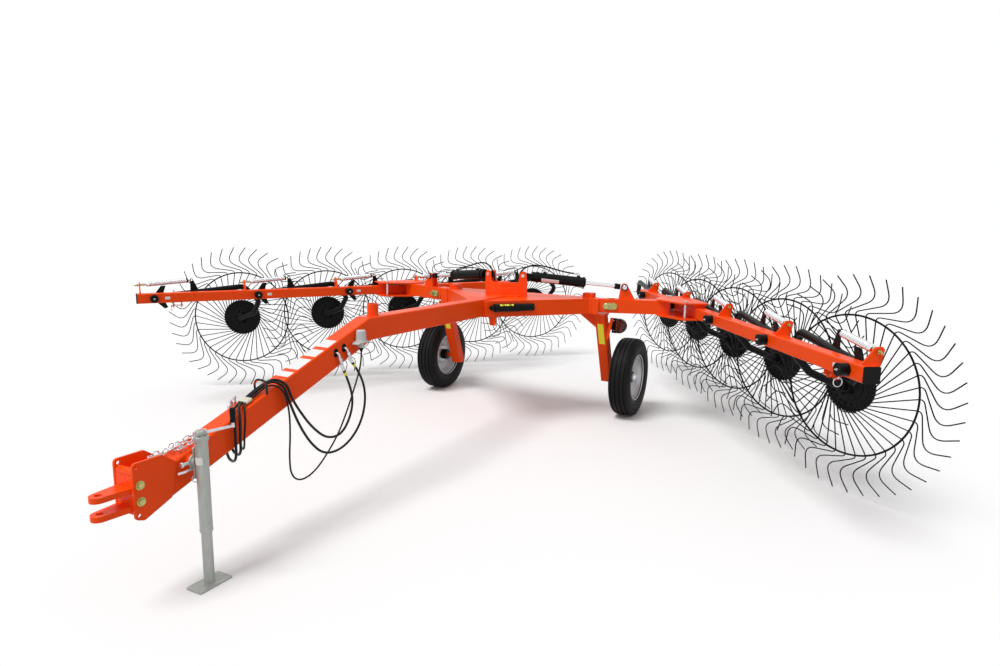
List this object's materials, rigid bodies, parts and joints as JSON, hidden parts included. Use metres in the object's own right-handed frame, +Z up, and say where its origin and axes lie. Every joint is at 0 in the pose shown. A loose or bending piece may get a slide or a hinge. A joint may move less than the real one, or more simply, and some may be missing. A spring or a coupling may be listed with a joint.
{
  "type": "towed V wheel rake",
  "caption": "Towed V rake: two folding beams of free-turning tined wheels on spring-held arms, a two-wheeled frame, fold cylinders, and a tongue with a jack and clevis hitch.",
  "frame": {"origin": "on the ground under the middle of the machine's outline", "axes": "+Z up, -Y forwards to the tractor, +X to the right as seen from the front, as left and right are in the names"},
  "size_m": [6.571, 6.5113, 1.4041],
  "materials": {
    "orange_paint": "gloss",
    "black_paint": "satin",
    "rim_paint": "satin",
    "zinc": "satin",
    "yellow_zinc": "satin",
    "chrome": "gloss",
    "tyre_rubber": "matte",
    "black_plastic": "satin",
    "hose_rubber": "matte",
    "lamp_red": "gloss"
  },
  "bodies": {
    "frame": {"crank_grip": "black_plastic", "cylinder_base_pins": "zinc", "cylinder_bracket": "orange_paint", "document_tube": "black_plastic", "hitch_clevis": "orange_paint", "hitch_plates": "orange_paint", "hose_1": "hose_rubber", "hose_2": "hose_rubber", "hose_fittings": "zinc", "jack_crank": "zinc", "jack_stub": "orange_paint", "jack_tube": "zinc", "lamp_bases": "black_plastic", "leg_left": "orange_paint", "leg_right": "orange_paint", "light_cable": "hose_rubber", "light_plug": "black_plastic", "main_frame": "orange_paint", "parking_socket": "black_plastic", "tail_lamps": "lamp_red", "tongue": "orange_paint"},
    "ground_wheel_left": {"tyre_left": "tyre_rubber", "rim_left": "rim_paint"},
    "wing_left": {"fold_arm_left": "orange_paint", "fold_pin_left": "yellow_zinc", "beam_pins_left": "zinc", "rod_ears_left": "orange_paint", "rod_pin_left": "zinc", "rake_beam_left": "orange_paint", "beam_caps_left": "black_plastic", "pivot_pins_left": "black_paint", "wheel_arms_left": "black_paint", "springs_left": "zinc"},
    "rake_wheel_1_left": {"rake_wheel_1_left": "black_paint"},
    "rake_wheel_2_left": {"rake_wheel_2_left": "black_paint"},
    "rake_wheel_3_left": {"rake_wheel_3_left": "black_paint"},
    "rake_wheel_4_left": {"rake_wheel_4_left": "black_paint"},
    "rake_wheel_5_left": {"rake_wheel_5_left": "black_paint"},
    "cylinder_body_left": {"cylinder_barrel_left": "black_paint"},
    "cylinder_piston_left": {"cylinder_rod_left": "chrome"},
    "ground_wheel_right": {"tyre_right": "tyre_rubber", "rim_right": "rim_paint"},
    "wing_right": {"fold_arm_right": "orange_paint", "fold_pin_right": "yellow_zinc", "beam_pins_right": "zinc", "rod_ears_right": "orange_paint", "rod_pin_right": "zinc", "rake_beam_right": "orange_paint", "beam_caps_right": "black_plastic", "pivot_pins_right": "black_paint", "wheel_arms_right": "black_paint", "springs_right": "zinc"},
    "rake_wheel_1_right": {"rake_wheel_1_right": "black_paint"},
    "rake_wheel_2_right": {"rake_wheel_2_right": "black_paint"},
    "rake_wheel_3_right": {"rake_wheel_3_right": "black_paint"},
    "rake_wheel_4_right": {"rake_wheel_4_right": "black_paint"},
    "rake_wheel_5_right": {"rake_wheel_5_right": "black_paint"},
    "cylinder_body_right": {"cylinder_barrel_right": "black_paint"},
    "cylinder_piston_right": {"cylinder_rod_right": "chrome"},
    "jack_foot": {"jack_leg": "zinc"}
  },
  "joints": [
    {"name": "ground_wheel_spin_left", "type": "hinge", "parent": "frame", "child": "ground_wheel_left", "pos_m": [-0.987, 0.93, 0.345], "axis": [1, 0, 0], "continuous": true},
    {"name": "wing_fold_left", "type": "hinge", "parent": "frame", "child": "wing_left", "pos_m": [-0.835, 0.679, 1], "axis": [0.342, 0.9397, 0], "range_deg": [0, 60]},
    {"name": "rake_wheel_spin_1_left", "type": "hinge", "parent": "wing_left", "child": "rake_wheel_1_left", "pos_m": [-2.72, -0.081, 0.705], "axis": [-0.592, 0.8059, 0], "continuous": true},
    {"name": "rake_wheel_spin_2_left", "type": "hinge", "parent": "wing_left", "child": "rake_wheel_2_left", "pos_m": [-2.25758, 0.64765, 0.705], "axis": [-0.592, 0.8059, 0], "continuous": true},
    {"name": "rake_wheel_spin_3_left", "type": "hinge", "parent": "wing_left", "child": "rake_wheel_3_left", "pos_m": [-1.79516, 1.37631, 0.705], "axis": [-0.592, 0.8059, 0], "continuous": true},
    {"name": "rake_wheel_spin_4_left", "type": "hinge", "parent": "wing_left", "child": "rake_wheel_4_left", "pos_m": [-1.33274, 2.10496, 0.705], "axis": [-0.592, 0.8059, 0], "continuous": true},
    {"name": "rake_wheel_spin_5_left", "type": "hinge", "parent": "wing_left", "child": "rake_wheel_5_left", "pos_m": [-0.87033, 2.83362, 0.705], "axis": [-0.592, 0.8059, 0], "continuous": true},
    {"name": "cylinder_pivot_left", "type": "hinge", "parent": "frame", "child": "cylinder_body_left", "pos_m": [-0.15842, 0.43274, 1.235], "axis": [0.342, 0.9397, 0], "range_deg": [0, 3.7]},
    {"name": "cylinder_stroke_left", "type": "slide", "parent": "cylinder_body_left", "child": "cylinder_piston_left", "axis": [-0.9362, 0.3407, -0.0864], "range_m": [-0.215, 0]},
    {"name": "ground_wheel_spin_right", "type": "hinge", "parent": "frame", "child": "ground_wheel_right", "pos_m": [0.987, 0.93, 0.345], "axis": [1, 0, 0], "continuous": true},
    {"name": "wing_fold_right", "type": "hinge", "parent": "frame", "child": "wing_right", "pos_m": [0.835, 0.679, 1], "axis": [0.342, -0.9397, 0], "range_deg": [0, 60]},
    {"name": "rake_wheel_spin_1_right", "type": "hinge", "parent": "wing_right", "child": "rake_wheel_1_right", "pos_m": [2.72, -0.081, 0.705], "axis": [0.592, 0.8059, 0], "continuous": true},
    {"name": "rake_wheel_spin_2_right", "type": "hinge", "parent": "wing_right", "child": "rake_wheel_2_right", "pos_m": [2.25758, 0.64765, 0.705], "axis": [0.592, 0.8059, 0], "continuous": true},
    {"name": "rake_wheel_spin_3_right", "type": "hinge", "parent": "wing_right", "child": "rake_wheel_3_right", "pos_m": [1.79516, 1.37631, 0.705], "axis": [0.592, 0.8059, 0], "continuous": true},
    {"name": "rake_wheel_spin_4_right", "type": "hinge", "parent": "wing_right", "child": "rake_wheel_4_right", "pos_m": [1.33274, 2.10496, 0.705], "axis": [0.592, 0.8059, 0], "continuous": true},
    {"name": "rake_wheel_spin_5_right", "type": "hinge", "parent": "wing_right", "child": "rake_wheel_5_right", "pos_m": [0.87033, 2.83362, 0.705], "axis": [0.592, 0.8059, 0], "continuous": true},
    {"name": "cylinder_pivot_right", "type": "hinge", "parent": "frame", "child": "cylinder_body_right", "pos_m": [0.15842, 0.43274, 1.235], "axis": [0.342, -0.9397, 0], "range_deg": [0, 3.7]},
    {"name": "cylinder_stroke_right", "type": "slide", "parent": "cylinder_body_right", "child": "cylinder_piston_right", "axis": [0.9362, 0.3407, -0.0864], "range_m": [-0.215, 0]},
    {"name": "jack_slide", "type": "slide", "parent": "frame", "child": "jack_foot", "axis": [0, 0, 1], "range_m": [0, 0.24]}
  ],
  "couplings": [
    {"joint": "cylinder_pivot_left", "follows": "wing_fold_left", "ratio": 0.06},
    {"joint": "cylinder_stroke_left", "follows": "wing_fold_left", "m_per_rad": -0.2041},
    {"joint": "cylinder_pivot_right", "follows": "wing_fold_right", "ratio": 0.06},
    {"joint": "cylinder_stroke_right", "follows": "wing_fold_right", "m_per_rad": -0.2041}
  ]
}
